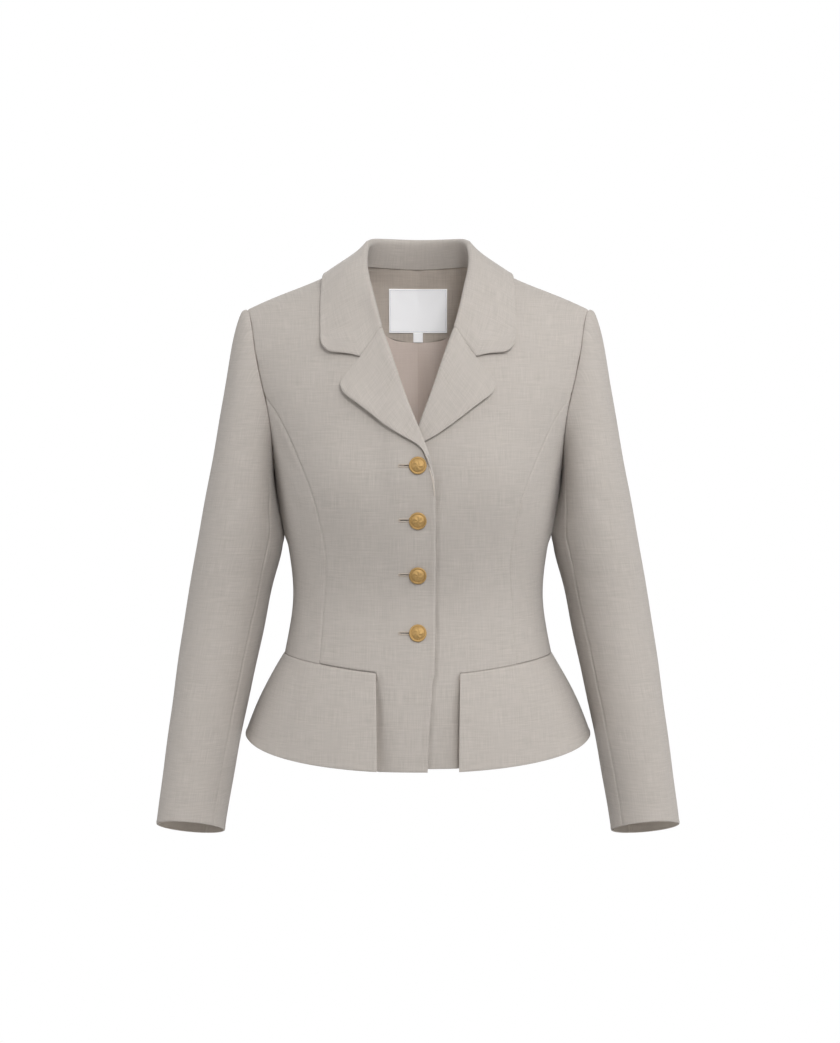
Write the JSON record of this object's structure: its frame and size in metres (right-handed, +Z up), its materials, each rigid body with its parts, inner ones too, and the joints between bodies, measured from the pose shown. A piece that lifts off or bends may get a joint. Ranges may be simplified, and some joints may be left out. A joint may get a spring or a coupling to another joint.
{
  "type": "cropped jacket",
  "caption": "Cropped fitted jacket, filled out and hollow, with a rounded notched collar, long two-piece sleeves, princess seams, a flared split peplum and domed shank buttons.",
  "frame": {"origin": "mid neck, level with the neck ends of the shoulder seams, where the wearer's shoulders hold the jacket", "axes": "+Z up; the front faces -Y; +X is the wearer's left"},
  "size_m": [0.589, 0.2918, 0.6816],
  "materials": {
    "cloth": "matt slubbed plain weave in warm beige grey",
    "lining": "smooth satin lining in pinkish taupe",
    "tape": "blank white woven tape",
    "metal": null
  },
  "bodies": {
    "root": {"back_left": "cloth", "back_neck_facing": "cloth", "back_right": "cloth", "button_1": "metal", "button_2": "metal", "button_3": "metal", "button_4": "metal", "collar": "cloth", "front_left": "cloth", "front_right": "cloth", "label": "tape", "lapel_left": "cloth", "lapel_right": "cloth", "lining_back_left": "lining", "lining_back_right": "lining", "peplum_back": "cloth", "peplum_front_left": "cloth", "peplum_front_right": "cloth", "side_back_left": "cloth", "side_back_right": "cloth", "side_front_left": "cloth", "side_front_right": "cloth", "size_tab": "tape", "top_sleeve_left": "cloth", "top_sleeve_right": "cloth", "under_sleeve_left": "cloth", "under_sleeve_right": "cloth"}
  },
  "joints": []
}
